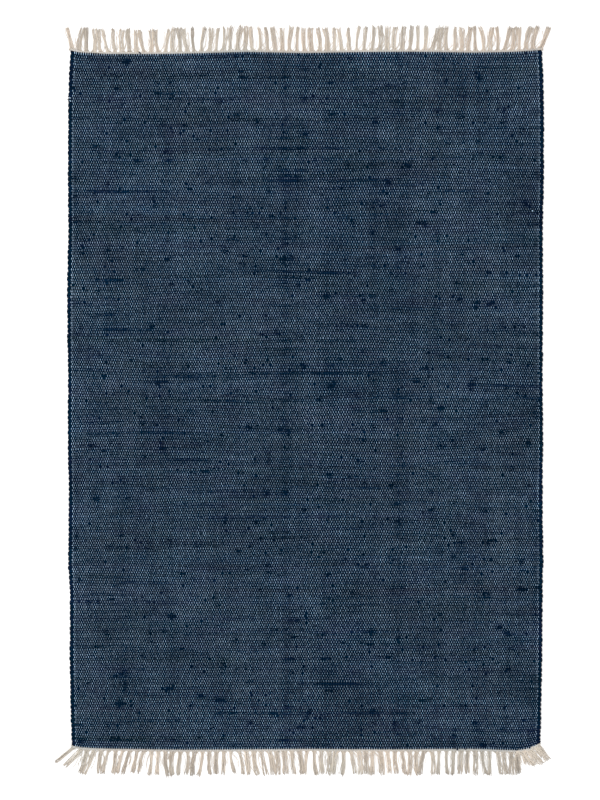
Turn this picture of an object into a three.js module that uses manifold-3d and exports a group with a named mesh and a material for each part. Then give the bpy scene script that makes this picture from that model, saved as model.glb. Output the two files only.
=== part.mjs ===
// A flat-woven rag rug, lying flat: navy rag strips packed side by side on a natural cotton warp.
// The cloth is one solid, with a low rib for every pick of rag and a notched selvedge where the
// rag turns back. At each end a narrow twined heading, a hair away from the cloth, carries the
// fringe: one lock for every six warp ends, and some loose threads between them.
// Millimetres, +Z up. X runs across the rug and +Y to its far end. The origin is the middle of the
// underside, which lies flat on the floor.

import * as THREE from "three";
import { mergeVertices } from "three/addons/utils/BufferGeometryUtils.js";
import Module from "manifold-3d";

const wasm = await Module();
wasm.setup();

// The cloth
const CLOTH_WIDTH = 1400;
const CLOTH_LENGTH = 2048;
const TRIM = 8; // the most that an end line cuts off a cloth woven a little too long
const PICKS = 275;
const CREST_HEIGHT = 6.2; // the top of a pick
const GROOVE_HEIGHT = 4.4; // between two picks
const CREST_SPREAD = 0.4; // the most by which a pick stands above or below the rest
const PICK_DRIFT = 0.07; // of a pick, the most by which a groove or crest strays
const BEAT = 0.05; // the picks lie this much looser at the far end and tighter at the near one
const PICK_WAVE = 3; // the picks bow and sway by this much between the selvedges
const SELVEDGE_TURN = 7; // the rag thins down to its turn in this width
const SELVEDGE_HEIGHT = 2.6;
const LOOP_DEPTH = 2; // the notch between two turns of the rag at a selvedge
const BELOW_FLOOR = 2; // what the floor cuts off, to leave a flat underside

// How far each selvedge lies inside half the width, from the near end (0) to the far end (1)
const SELVEDGES = [
  { along: 0.0, left: 14, right: 10 },
  { along: 0.05, left: 11, right: 5 },
  { along: 0.13, left: 7, right: 2 },
  { along: 0.22, left: 8, right: 1 },
  { along: 0.27, left: 3, right: -1 },
  { along: 0.36, left: 4.5, right: 1 },
  { along: 0.44, left: 1.5, right: -1 },
  { along: 0.52, left: 2.5, right: 0.5 },
  { along: 0.65, left: -0.5, right: -0.5 },
  { along: 0.74, left: 3, right: 0.5 },
  { along: 0.82, left: 2, right: -3 },
  { along: 0.91, left: 3, right: -3.5 },
  { along: 0.96, left: 5, right: -1 },
  { along: 1.0, left: 11, right: 3 },
];

// The heading and the fringe
const SEAM_GAP = 0.3; // between the heading and the cloth
const HEADING_DEPTH = 6.5;
const HEADING_HEIGHT = 4.6;
const HEADING_STEPS = 48;
const TUFTS = 65;
const FIRST_ROOT = 4; // from the heading's end to the middle of the outermost lock
const TUFT_REACH = 69; // from the heading to the cut ends
const REACH_SPREAD = 2;
const TUFT_STEPS = 3;
const ROOT_SINK = 3; // a lock starts this far inside the heading
const ROOT_WIDTH = 6;
const TIP_WIDTH = 8.5;
const ROOT_HEIGHT = 4;
const TIP_HEIGHT = 2.8;
const TOP_SHARE = 0.55; // a lock's top is this much of its foot's width
const TUFT_GAP = 0.8; // the least between two neighbours
const SWAY = 2; // a tip strays by this much from the lean of its group
const BOW = 4; // and the lock's middle bows by this much
const THREAD_WIDTH = 2.4;
const THREAD_HEIGHT = 2;
const THREAD_SHORT = 4; // than the shorter of the locks beside it
const THREAD_ROOM = 13; // a loose thread lies only where two tips are this far apart
const PARTING_ROUNDS = 12; // of parting neighbours that would touch

// Each end has its side of the rug, where its heading starts and ends across it, how far its
// line lies inside half the length, by how much some of its locks' roots are shifted from even
// spacing, and how its locks fall from left to right, in groups: how many locks, how far their
// tips lean sideways, how much of the way the tips draw together, and how much shorter they are.
const FAR_END = {
  side: 1,
  seed: 11,
  left: -690,
  right: 697,
  line: [
    { across: -691, inset: -4 },
    { across: -673, inset: 2.5 },
    { across: -612, inset: 7 },
    { across: -426, inset: 7 },
    { across: -303, inset: 4.5 },
    { across: -179, inset: 0.5 },
    { across: 6, inset: 4.5 },
    { across: 129, inset: 1.5 },
    { across: 315, inset: 0 },
    { across: 500, inset: 3 },
    { across: 623, inset: 0.5 },
    { across: 697, inset: -5 },
  ],
  shifts: [
    { lock: 0, shift: 0 },
    { lock: 18, shift: -6.5 },
    { lock: 24, shift: -7.5 },
    { lock: 32, shift: -5 },
    { lock: 40, shift: -2 },
    { lock: 48, shift: 4 },
    { lock: 56, shift: 3.5 },
    { lock: 64, shift: 0 },
  ],
  groups: [
    { locks: 1, lean: -15, draw: 0, short: 6 },
    { locks: 2, lean: 7, draw: 0.6, short: 2 },
    { locks: 3, lean: -9, draw: 0.45, short: 2 },
    { locks: 1, lean: -6, draw: 0, short: 0 },
    { locks: 2, lean: -4, draw: 0.2, short: 0 },
    { locks: 2, lean: -6, draw: 0.5, short: 2 },
    { locks: 2, lean: -5, draw: 0.4, short: 1 },
    { locks: 4, lean: -1, draw: 0.35, short: 0 },
    { locks: 1, lean: -6, draw: 0, short: 0 },
    { locks: 5, lean: 8, draw: 0.05, short: 0 },
    { locks: 3, lean: 4, draw: 0.5, short: 0 },
    { locks: 3, lean: -6, draw: 0.1, short: 0 },
    { locks: 1, lean: -1, draw: 0, short: 0 },
    { locks: 3, lean: 2, draw: 0.3, short: 0 },
    { locks: 3, lean: -6, draw: 0, short: 0 },
    { locks: 2, lean: -5, draw: 0.45, short: 2 },
    { locks: 1, lean: -3, draw: 0, short: 3 },
    { locks: 4, lean: 6, draw: 0.1, short: 0 },
    { locks: 3, lean: 3, draw: -0.1, short: 0 },
    { locks: 2, lean: 4, draw: 0.25, short: 0 },
    { locks: 1, lean: 3, draw: 0, short: 0 },
    { locks: 3, lean: 10, draw: 0.4, short: 0 },
    { locks: 2, lean: 3, draw: 0, short: 0 },
    { locks: 3, lean: -1, draw: 0.35, short: 0 },
    { locks: 2, lean: 3, draw: 0.4, short: 0 },
    { locks: 3, lean: 8, draw: 0.3, short: 2 },
    { locks: 2, lean: 12, draw: 0.1, short: 3 },
    { locks: 1, lean: 24, draw: 0, short: 8 },
  ],
};
const NEAR_END = {
  side: -1,
  seed: 21,
  left: -687,
  right: 690,
  line: [
    { across: -691, inset: 10 },
    { across: -673, inset: 4 },
    { across: -612, inset: 0 },
    { across: -365, inset: -4 },
    { across: 0, inset: -1.5 },
    { across: 250, inset: -3 },
    { across: 500, inset: -1 },
    { across: 625, inset: -6 },
    { across: 662, inset: 0 },
    { across: 691, inset: 17 },
  ],
  shifts: [
    { lock: 0, shift: 0 },
    { lock: 12, shift: -6 },
    { lock: 22, shift: -5 },
    { lock: 32, shift: 4 },
    { lock: 42, shift: 5 },
    { lock: 52, shift: 8 },
    { lock: 59, shift: 5 },
    { lock: 64, shift: 0 },
  ],
  groups: [
    { locks: 1, lean: -50, draw: 0, short: 28 },
    { locks: 1, lean: -43, draw: 0, short: 19 },
    { locks: 2, lean: -25, draw: 0.4, short: 1 },
    { locks: 2, lean: -11, draw: 0.5, short: 1 },
    { locks: 3, lean: -15, draw: 0.3, short: 3 },
    { locks: 2, lean: -15, draw: 0.1, short: 5 },
    { locks: 2, lean: -4, draw: -0.3, short: 1 },
    { locks: 2, lean: 2, draw: 0.4, short: 0 },
    { locks: 4, lean: -7, draw: 0.05, short: 0 },
    { locks: 3, lean: -1, draw: 0.1, short: 2 },
    { locks: 1, lean: 12, draw: 0, short: 5 },
    { locks: 2, lean: 10, draw: 0.4, short: 0 },
    { locks: 2, lean: 13, draw: 0, short: 0 },
    { locks: 2, lean: 8, draw: 0.4, short: 0 },
    { locks: 2, lean: 6, draw: 0, short: 3 },
    { locks: 2, lean: 0, draw: 0.6, short: 1 },
    { locks: 3, lean: 2, draw: 0.2, short: 0 },
    { locks: 2, lean: -4, draw: -0.1, short: 0 },
    { locks: 4, lean: 6, draw: 0.15, short: 2 },
    { locks: 3, lean: 6, draw: 0.1, short: 3 },
    { locks: 2, lean: 3, draw: 0.4, short: 0 },
    { locks: 2, lean: -4, draw: 0.5, short: 0 },
    { locks: 2, lean: 1, draw: 0.3, short: 0 },
    { locks: 2, lean: -1, draw: 0.4, short: 0 },
    { locks: 3, lean: -1, draw: 0, short: 0 },
    { locks: 2, lean: 6, draw: 0.4, short: 0 },
    { locks: 2, lean: 12, draw: 0, short: 1 },
    { locks: 2, lean: 3, draw: 0.2, short: 4 },
    { locks: 3, lean: 31, draw: -0.1, short: 29 },
  ],
};

const NAVY = 0x1d3557;
const NATURAL = 0xcfc1ae;

// The value of one column of a table at a place, straight between its rows.
function at(table, placeName, valueName, place) {
  const last = table[table.length - 1];
  if (place <= table[0][placeName]) return table[0][valueName];
  if (place >= last[placeName]) return last[valueName];
  const next = table.findIndex((row) => row[placeName] > place);
  const [before, after] = [table[next - 1], table[next]];
  const share = (place - before[placeName]) / (after[placeName] - before[placeName]);
  return THREE.MathUtils.lerp(before[valueName], after[valueName], share);
}

// A number from -1 to 1 that looks random and is the same every time.
function scatter(index, kind) {
  const mixed = Math.sin(index * 12.9898 + kind * 78.233) * 43758.5453;
  return 2 * (mixed - Math.floor(mixed)) - 1;
}

// Merges a three.js geometry's shared vertices and makes it a solid.
function solidOf(geometry) {
  geometry.deleteAttribute("normal");
  geometry.deleteAttribute("uv");
  const merged = mergeVertices(geometry, 1e-4);
  return new wasm.Manifold(
    new wasm.Mesh({
      numProp: 3,
      vertProperties: new Float32Array(merged.attributes.position.array),
      triVerts: new Uint32Array(merged.index.array),
    }),
  );
}

function meshOf(solid, name, material) {
  const result = solid.getMesh();
  const geometry = new THREE.BufferGeometry();
  geometry.setAttribute("position", new THREE.BufferAttribute(result.vertProperties, 3));
  geometry.setIndex(new THREE.BufferAttribute(result.triVerts, 1));
  geometry.computeVertexNormals();
  const mesh = new THREE.Mesh(geometry, material);
  mesh.name = name;
  return mesh;
}

// Moves every point of a geometry to where place() puts it.
function reshape(geometry, place) {
  const points = geometry.attributes.position;
  for (let i = 0; i < points.count; i++) {
    const [x, y, z] = place(points.getX(i), points.getY(i), points.getZ(i));
    points.setXYZ(i, x, y, z);
  }
  return geometry;
}

// A solid from a reshaped box. At the near end the box is mirrored, so its faces are turned round.
function boxSolid(geometry, side) {
  if (side > 0) return solidOf(geometry);
  const order = geometry.index.array;
  for (let i = 0; i < order.length; i += 3) {
    [order[i + 1], order[i + 2]] = [order[i + 2], order[i + 1]];
  }
  return solidOf(geometry);
}

// How far along the rug an end's line lies at one of the heading's steps, and at a place across
// it, straight between two steps.
function lineAtStep(end, step) {
  const x = THREE.MathUtils.lerp(end.left, end.right, step / HEADING_STEPS);
  return end.side * (CLOTH_LENGTH / 2 - at(end.line, "across", "inset", x));
}

function lineAt(end, x) {
  const place = ((x - end.left) / (end.right - end.left)) * HEADING_STEPS;
  const step = Math.floor(place);
  return THREE.MathUtils.lerp(lineAtStep(end, step), lineAtStep(end, step + 1), place - step);
}

// A strip along an end's line, from one distance outside the line to another. Past the heading's
// two ends it can run on straight, with one more step there.
function stripSolid(end, { inner, outer, low, high, runOn }) {
  const steps = HEADING_STEPS + 2;
  const strip = new THREE.BoxGeometry(1, 1, 1, steps, 1, 1);
  reshape(strip, (boxX, boxY, boxZ) => {
    const place = Math.round((boxX + 0.5) * steps) - 1;
    const step = THREE.MathUtils.clamp(place, 0, HEADING_STEPS);
    const headingX = THREE.MathUtils.lerp(end.left, end.right, step / HEADING_STEPS);
    const x = headingX + (place - step) * runOn;
    const out = boxY < 0 ? inner : outer;
    return [x, lineAtStep(end, step) + end.side * out, boxZ < 0 ? low : high];
  });
  return boxSolid(strip, end.side);
}

// The share of the rug's length, from the near end, at a row of the ribbed face. Even rows are
// grooves and odd ones are crests.
function lengthShare(row) {
  const inside = row > 0 && row < 2 * PICKS;
  const strayed = row / 2 + (inside ? PICK_DRIFT * scatter(row, 1) : 0);
  const share = strayed / PICKS;
  return share + BEAT * (share * share - share);
}

// How far a pick strays along the rug at a place: nothing at the two ends, most in the middle.
function pickWave(x, share) {
  const across = x / CLOTH_WIDTH;
  const sway = Math.sin(7 * across + 23 * share) + 0.6 * Math.sin(15 * across - 41 * share);
  return PICK_WAVE * sway * Math.sin(Math.PI * share);
}

// The cloth: a box with two rows of points for each pick, its top raised into ribs and its long
// edges notched at every second groove. The floor and the two end lines trim it.
function clothSolid() {
  const rows = 2 * PICKS;
  const turnShare = SELVEDGE_TURN / CLOTH_WIDTH;
  const across = [0, turnShare, 0.5, 1 - turnShare, 1];
  const columns = across.length - 1;
  const wovenHalf = CLOTH_LENGTH / 2 + TRIM;
  const box = new THREE.BoxGeometry(1, 1, 1, columns, rows, 1);
  reshape(box, (boxX, boxY, boxZ) => {
    const column = Math.round((boxX + 0.5) * columns);
    const row = Math.round((boxY + 0.5) * rows);
    const pick = Math.floor(row / 2);
    const share = lengthShare(row);
    const isCrest = row % 2 === 1;
    // The rag turns back at the left after even picks and at the right after odd ones.
    const leftNotch = !isCrest && pick % 2 === 0 ? LOOP_DEPTH : 0;
    const rightNotch = !isCrest && pick % 2 === 1 ? LOOP_DEPTH : 0;
    const left = -CLOTH_WIDTH / 2 + at(SELVEDGES, "along", "left", share) + leftNotch;
    const right = CLOTH_WIDTH / 2 - at(SELVEDGES, "along", "right", share) - rightNotch;
    const x = THREE.MathUtils.lerp(left, right, across[column]);
    const y = THREE.MathUtils.lerp(-wovenHalf, wovenHalf, share) + pickWave(x, share);
    if (boxZ < 0) return [x, y, -BELOW_FLOOR];
    if (column === 0 || column === columns) return [x, y, SELVEDGE_HEIGHT];
    const crest = CREST_HEIGHT + CREST_SPREAD * scatter(pick, 2 + column);
    return [x, y, isCrest ? crest : GROOVE_HEIGHT];
  });
  const floor = new THREE.BoxGeometry(2 * CLOTH_WIDTH, 2 * CLOTH_LENGTH, 2 * BELOW_FLOOR);
  floor.translate(0, 0, -BELOW_FLOOR);
  let solid = solidOf(box).subtract(solidOf(floor));
  for (const end of [FAR_END, NEAR_END]) {
    const offcut = { inner: 0, outer: 5 * TRIM, low: -1, high: 2 * CREST_HEIGHT, runOn: 50 };
    solid = solid.subtract(stripSolid(end, offcut));
  }
  return solid;
}

function tuftWidth(t) {
  return THREE.MathUtils.lerp(ROOT_WIDTH, TIP_WIDTH, Math.sqrt(t));
}

// Where the locks of one end lie: the places across the rug of each one's middle, at each step of
// its length. Where two neighbours would touch, both give way.
function tuftLines(end) {
  const roots = [];
  for (let i = 0; i < TUFTS; i++) {
    const even = THREE.MathUtils.lerp(
      end.left + FIRST_ROOT,
      end.right - FIRST_ROOT,
      i / (TUFTS - 1),
    );
    roots.push(even + at(end.shifts, "lock", "shift", i));
  }
  const tufts = [];
  for (const { locks, lean, draw, short } of end.groups) {
    const first = tufts.length;
    const middle = (roots[first] + roots[first + locks - 1]) / 2;
    for (let i = first; i < first + locks; i++) {
      const tipShift = lean + draw * (middle - roots[i]) + SWAY * scatter(i, end.seed);
      const bow = BOW * scatter(i, end.seed + 1);
      const centres = [];
      for (let step = 0; step <= TUFT_STEPS; step++) {
        const t = step / TUFT_STEPS;
        centres.push(roots[i] + tipShift * t ** 1.3 + bow * Math.sin(Math.PI * t));
      }
      const reach = TUFT_REACH - short + REACH_SPREAD * scatter(i, end.seed + 2);
      tufts.push({ root: roots[i], centres, reach });
    }
  }
  for (let round = 0; round < PARTING_ROUNDS; round++) {
    for (let step = 1; step <= TUFT_STEPS; step++) {
      const least = tuftWidth(step / TUFT_STEPS) + TUFT_GAP;
      for (let i = 1; i < TUFTS; i++) {
        const overlap = least - (tufts[i].centres[step] - tufts[i - 1].centres[step]);
        if (overlap <= 0) continue;
        tufts[i].centres[step] += overlap / 2;
        tufts[i - 1].centres[step] -= overlap / 2;
      }
    }
  }
  return tufts;
}

// One lock or loose thread: a box laid along its line, flat on the floor, wider at its foot than
// at its top.
function lockSolid(tuft, end, widthAt, heightAt) {
  const box = new THREE.BoxGeometry(1, 1, 1, 1, TUFT_STEPS, 1);
  const start = Math.abs(lineAt(end, tuft.root)) + SEAM_GAP + HEADING_DEPTH - ROOT_SINK;
  const length = ROOT_SINK + tuft.reach;
  reshape(box, (boxX, boxY, boxZ) => {
    const step = Math.round((boxY + 0.5) * TUFT_STEPS);
    const t = step / TUFT_STEPS;
    const before = Math.max(step - 1, 0);
    const after = Math.min(step + 1, TUFT_STEPS);
    const along = new THREE.Vector2(
      tuft.centres[after] - tuft.centres[before],
      (length * (after - before)) / TUFT_STEPS,
    ).normalize();
    const side = Math.sign(boxX) * (widthAt(t) / 2) * (boxZ > 0 ? TOP_SHARE : 1);
    const x = tuft.centres[step] + side * along.y;
    const y = end.side * (start + length * t - side * along.x);
    return [x, y, boxZ > 0 ? heightAt(t) : 0];
  });
  return boxSolid(box, end.side);
}

// One end's heading with its locks and loose threads, all one solid.
function fringeSolid(end) {
  const heading = {
    inner: SEAM_GAP,
    outer: SEAM_GAP + HEADING_DEPTH,
    low: 0,
    high: HEADING_HEIGHT,
    runOn: 1,
  };
  let solid = stripSolid(end, heading);
  const tufts = tuftLines(end);
  const tuftHeight = (t) => THREE.MathUtils.lerp(ROOT_HEIGHT, TIP_HEIGHT, t);
  for (const tuft of tufts) {
    solid = solid.add(lockSolid(tuft, end, tuftWidth, tuftHeight));
  }
  for (let i = 1; i < TUFTS; i++) {
    const [before, after] = [tufts[i - 1], tufts[i]];
    const room = after.centres[TUFT_STEPS] - before.centres[TUFT_STEPS] - TIP_WIDTH;
    if (room < THREAD_ROOM) continue;
    const thread = {
      root: (before.root + after.root) / 2,
      centres: before.centres.map((centre, step) => (centre + after.centres[step]) / 2),
      reach: Math.min(before.reach, after.reach) - THREAD_SHORT,
    };
    solid = solid.add(lockSolid(thread, end, () => THREAD_WIDTH, () => THREAD_HEIGHT));
  }
  return solid;
}

const rag = new THREE.MeshStandardMaterial({ color: NAVY, roughness: 0.95, metalness: 0 });
const cotton = new THREE.MeshStandardMaterial({ color: NATURAL, roughness: 0.9, metalness: 0 });

const rug = new THREE.Group();
rug.add(meshOf(clothSolid(), "rag_cloth", rag));
rug.add(meshOf(fringeSolid(FAR_END), "far_fringe", cotton));
rug.add(meshOf(fringeSolid(NEAR_END), "near_fringe", cotton));

export default rug;
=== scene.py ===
"""A flat-woven rag rug with a cotton fringe, laid out as a Blender add-on.

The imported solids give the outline: where the rag turns at the two selvedges, the line of each
heading and the path of each lock of the fringe. The weave is worked out inside that outline.
A place across the cloth is a share of its width, from the left selvedge (0) to the right (1),
and a row is counted in picks from the near end, so 2.5 is the middle of the third pick.
Sizes are in metres, and X runs across the rug, Y along it and Z up from the floor.
"""

import math

import bpy
import numpy as np
from bpy.props import FloatProperty, FloatVectorProperty, IntProperty, PointerProperty
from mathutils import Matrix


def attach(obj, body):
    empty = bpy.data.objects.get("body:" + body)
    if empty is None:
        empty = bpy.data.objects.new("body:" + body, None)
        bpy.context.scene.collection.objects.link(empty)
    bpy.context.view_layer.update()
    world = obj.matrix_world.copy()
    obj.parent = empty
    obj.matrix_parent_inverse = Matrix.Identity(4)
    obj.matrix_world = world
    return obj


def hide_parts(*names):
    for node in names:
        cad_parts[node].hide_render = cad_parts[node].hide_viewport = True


bl_info = {
    "name": "Rag rug",
    "version": (1, 0, 0),
    "blender": (4, 5, 0),
    "location": "3D View > Sidebar > Rag rug",
    "description": "Weaves a rag rug with a cotton fringe around its packed solids",
    "category": "Add Mesh",
}

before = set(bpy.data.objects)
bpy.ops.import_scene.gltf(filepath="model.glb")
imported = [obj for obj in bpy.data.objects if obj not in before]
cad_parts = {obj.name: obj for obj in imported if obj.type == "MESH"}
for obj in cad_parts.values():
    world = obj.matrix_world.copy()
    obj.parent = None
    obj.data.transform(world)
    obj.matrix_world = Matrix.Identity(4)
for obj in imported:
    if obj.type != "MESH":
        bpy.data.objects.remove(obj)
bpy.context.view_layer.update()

MM = 0.001

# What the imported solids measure
CLOTH_WIDTH = 1400 * MM
CLOTH_LENGTH = 2048 * MM
SELVEDGE_HEIGHT = 2.6 * MM
SEAM_GAP = 0.3 * MM  # between the cloth and a heading
HEADING_HEIGHT = 4.6 * MM
HEADING_DEPTH = 6.5 * MM
LOCK_HEIGHTS = (3.6 * MM, 3.2 * MM, 2.8 * MM)  # of a lock's top at its three steps
ROOT_SINK = 3 * MM  # a lock starts this far inside its heading

# The two ends of the rug: the side of each along Y, and the name of its solid
ENDS = {"far": (1, "far_fringe"), "near": (-1, "near_fringe")}

# How the picks lie
KNOTS = 51  # places across the cloth at which a pick's line is worked out
BENDS = 11  # a pick's thickness changes this many times across the cloth
BEAT = 0.05  # the picks lie this much looser at the far end and tighter at the near one
END_EASE = 45  # the power by which an end line's wander dies down along the cloth
PICK_WAVE = 3 * MM
BEATEN = 7  # picks over which the beater evens out what a fat one gains
BARE_BENDS = 2  # how deep the warp sinks into a pick changes this many times
STRIP_LENGTHS = (0.2, 1.4)  # metres of rag
FAT_REACH = (0.03, 0.14)  # half a fat stretch's length, as a share of the width
FAT_SWELL = (0.4, 1.1)
FAT_WIDTH = 0.25  # a fat stretch of rag is this much wider
FAT_RISE = 0.5 * MM
BANDS = (14, 60)  # patches of tighter and looser warp, along the rug and across it
PATCH_WEIGHT = 0.8  # of these patches, and next of the streaks along the whole rug
COLUMN_WEIGHT = 0.55
LUMPINESS = 0.25 * MM

# The section of a pick: four rows of points, from one groove to the next
ROWS_PER_PICK = 4
ROW_RISE = np.array([0, 0.41, 1, 0.41])
# How deep the painted shade lies in each row of a pick: full in the groove, none on the crest
GROOVE_SHADE = np.array([1, 0.35, 0, 0.35])
MID_HEIGHT = 3.4 * MM
UNDER_CREST = 1.0 * MM
UNDER_GROOVE = 2.8 * MM

# The selvedge, where the rag turns round the outermost warp end
EDGE_BAND = 9 * MM
TURN_RADIUS = 4.5 * MM
TURN_TONE = -1.5
TURN_ANGLES = np.radians([0, 25, 48, 70, 90])
UNDER_ANGLES = np.radians([90, 35])
SCALLOP = np.array([2.6, 1.1, 0.4, 0.1, 0, 0.1, 0.4, 1.1]) * MM  # inwards, row by row of a loop
LOOP_SPREAD = 0.5 * MM
WARP_MARGINS = (12.5 * MM, 12 * MM)  # from each selvedge to its outermost warp end
LOOP_FILL = np.array([0, 0, 0, 0.3, 0.8, 0.3, 0, 0])  # of the groove inside a loop
INNER_SPANS = 13
SPLIT = 3  # columns of the top face to one of the underside
END_BULGE = 0.6 * MM  # how far the first and last picks swell over the heading
END_FILL = 0.35  # of the groove between the heading and its pick

# The warp: how it strays, and how high its foot and top lie where it isn't over the rag
WARP_PIECES = 4
EDGE_STEP = 0.72  # between the outermost warp ends, to 1 for the others
WARP_DRIFT = 0.6 * MM  # slowly, along its own line
WARP_SHAKE = (0.09 * MM, 0.18 * MM)  # from pick to pick, across the rug and along it
RISE_SHAKE = 0.07 * MM
# What changes the rise and the tone of a tick: chance along each pick, patches, each for itself,
# and, for the tone, how far the rag hides it, which paints it darker as painted shade
TICK_RISE = {"chance": 0.14, "band": 0.13}
TICK_TONE = {"chance": 0.13, "band": 0.11, "each": 0.23, "hidden": 0.35}
FOOT_RISE = 0.1 * MM  # of a tick's edges above the rag
LOW_TICK = 0.5 * MM  # a tick that rises less than this takes its edges down with it
HIDDEN = 0.6  # how far a fat or bare stretch of rag hides it
SUNK = {"share": 0.006, "rise": -0.8 * MM}  # places where the rag hides it altogether
# Under the rag: the foot, the top, the width's share and the tone's share, which paints it darker
# as painted shade
BELOW = {"foot": 0.05 * MM, "top": 1.25 * MM, "width": 0.3, "tone": 0.3}
TOOTH = {"foot": 3 * MM, "top": 5.4 * MM, "width": 2.1, "tone": 1.1}  # up at a heading
TUCKED = {"foot": 1 * MM, "top": 2 * MM}  # down at a heading
OUTERMOST = 0.25  # the two outermost ends of each side are this much wider and paler
PLY_LENGTH = 3.2 * MM  # of one turn of the yarn

# Slubs, knobs and loops
SLUB_PLACES = (0.012, 0.988)  # the outermost places across
SLUB_REACH = (6, 2)  # warp ends and picks to each side of a slub that it hides
CLUMP = 2  # lumps in a slub
SLUB_SINK = 0.7 * MM
SLUB_SHAKE = 1.3 * MM
# In millimetres: the smallest slub's, and how much more the largest one's is
SLUB_SPREAD = (3, 4)
SLUB_LENGTH = (2.4, 4.2)
SLUB_WIDTH = (1.9, 1.5)
SLUB_TONE = -1.2
# Painted shade on the slubs' colour, as a share of the painted shade in a groove
SLUB_SHADE = 0.3  # as dark as this share of a groove
LUMP_RINGS = 5
LUMP_SIDES = 5
LUMP_END = 0.92  # the share of its half length at which the last ring lies
LUMP_HEIGHTS = (1.4, 2.4)  # millimetres
LUMP_SHAKE = {"tilt": 0.4, "waist": 0.22, "lean": 0.5 * MM}
LUMP_SIZES = (0.8, 1.2)
KNOB_HEIGHT = 4.8 * MM
KNOB_SIZE = 0.25
LOOP_HEIGHT = 7.2 * MM
LOOP_LENGTH = 2.4 * MM
LOOP_WIDTH = 1.8 * MM
LOOP_YARN = 5 * MM  # over which its plies are counted
LOOP_TONE = 1.25
# Places in millimetres, from the middle of the rug
KNOBS = [
    {"x": -486, "y": 1021},
    {"x": -694, "y": 893},
    {"x": -696, "y": 884},
    {"x": -693, "y": 875},
    {"x": 448, "y": -1028},
    {"x": 472, "y": -1026},
    {"x": 529, "y": -1022},
    {"x": 623, "y": -1029},
    {"x": 648, "y": -1021},
    {"x": 660, "y": -1022},
    {"x": 672, "y": -1014},
    {"x": 681, "y": -1010},
    {"x": 690, "y": -1004},
]
LOOPS = [{"x": -691, "y": 888}, {"x": -690, "y": 879}, {"x": 669, "y": 556}]

# The headings: two rows of two strands. A row lies this far out and winds one way or the other.
HEADING_ROWS = [{"out": 2.2 * MM, "way": 1}, {"out": 4.9 * MM, "way": -1}]
HEADING_SIDES = 4
HEADING_MIDDLE = 2.3 * MM
STRAND_RADIUS = 1.15 * MM
STRAND_SWING = 0.85 * MM
STRAND_LIFT = 0.9 * MM
TWIST_RINGS = 4
STRAND_SHAKE = {"slow": 0.15, "fast": 0.05, "radius": 0.08, "tone": 0.05}

# The fringe
LOCK_RINGS = 10
LOCK_LENGTH = 70 * MM
THREAD_SIDES = 3
THREAD_CLEAR = 0.1 * MM  # above the floor
GATHER = 6 * MM  # how far a lock's threads stand apart at its root
GATHERED = 0.12  # the share of a lock over which they come together
LOCK_WIDTHS = (0.6, 1.3)  # to 1 for the spread in the settings
WINDING = 2.4  # how far a lock turns about its own path, at most
THREAD_LOOSE = 1.6 * MM  # how far a thread strays at the lock's tip
THREAD_BOW = 0.9 * MM
PILE = (1.7 * MM, 0.9 * MM)  # how high the threads lie at the root, and how far that sinks
TAPER = ([0, 0.8, 1], [1, 1, 0.7])  # shares of a thread, and how thick it is there
LOCK_SHAKE = {"length": 0.035, "angle": 0.25, "radius": 0.1, "tone": 0.08}  # thread by thread
LOCK_TONE = {"middle": 0.93, "lock": 0.07, "tip": -0.08}
STRAY_RADII = (0.4, 0.8)  # millimetres
STRAY_SHIFT = 4 * MM
STRAY_LEAN = (-0.4, 0.9)  # towards the next lock
STRAY_REACH = (0.55, 1.04)  # to 1 for a lock
STRAY_BOW = 5.5 * MM
STRAY_CURL = 1.8 * MM
STRAY_ROOT = 2.2 * MM  # how high it leaves the heading
STRAY_TONE = 0.95
FANS = {"far": 0, "near": 70}  # threads matted together at the right-hand corner

# Noise, in waves to a metre
CLOUDS = 3.5
PATCHES = 26
CASTS = 4.5
HUES = 11
FOLDS = 420
RAG_THREADS = 2600
FUZZ = 1900
FLOOR_GRAIN = 900

# The stage
LENS = 85  # millimetres
SENSOR = 36
PHOTO_HEIGHT = 800  # pixels
PHOTO_PIXEL = 2.941 * MM  # what one pixel of the photograph spans on the rug
CAMERA_SHIFT = -5 * PHOTO_PIXEL  # the rug lies this far right of the photograph's middle
CAMERA_DISTANCE = PHOTO_HEIGHT * PHOTO_PIXEL * LENS / SENSOR
FLOOR_REACH = 15  # metres from the rug's middle
FLOOR_DROP = 0.3 * MM
SKY = 0.8
LAMPS = [
    {"name": "key_lamp", "place": (-3.2, 1.6, 5.5), "power": 260, "size": 3},
    {"name": "fill_lamp", "place": (3, -2, 6), "power": 90, "size": 4},
]


def linear(red, green, blue):
    """The linear colour of a displayed one, given from 0 to 255."""
    shown = np.array([red, green, blue]) / 255
    return tuple(np.where(shown > 0.04045, ((shown + 0.055) / 1.055) ** 2.4, shown / 12.92))


# Colours that the settings leave alone
UNDYED = (*linear(196, 190, 184), 1)
TEAL = (*linear(8, 40, 50), 1)
VIOLET = (*linear(30, 32, 66), 1)
COOL = (0.93, 1, 1.03, 1)
WARM = (1.04, 1, 0.98, 1)

# The cotton: which setting colours it, how worn it is and how rough at the least
COTTONS = {
    "grey_warp": {"colour": "warp", "wear": 0.42, "roughness": 0.85},
    "fringe_cotton": {"colour": "cotton", "wear": 0.12, "roughness": 0.88},
    "heading_cotton": {"colour": "heading", "wear": 0.1, "roughness": 0.88},
}


# Settings


def a_length(name, description, default):
    """A setting in metres."""
    return FloatProperty(
        name=name, description=description, default=default, unit="LENGTH", precision=4
    )


def a_count(name, description, default, least=0):
    """A setting that counts things."""
    return IntProperty(name=name, description=description, default=default, min=least)


def a_colour(name, description, *shown):
    """A setting for a colour, with its default as it is displayed, from 0 to 255."""
    return FloatVectorProperty(
        name=name, description=description, default=linear(*shown), subtype="COLOR", min=0, max=1
    )


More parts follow.
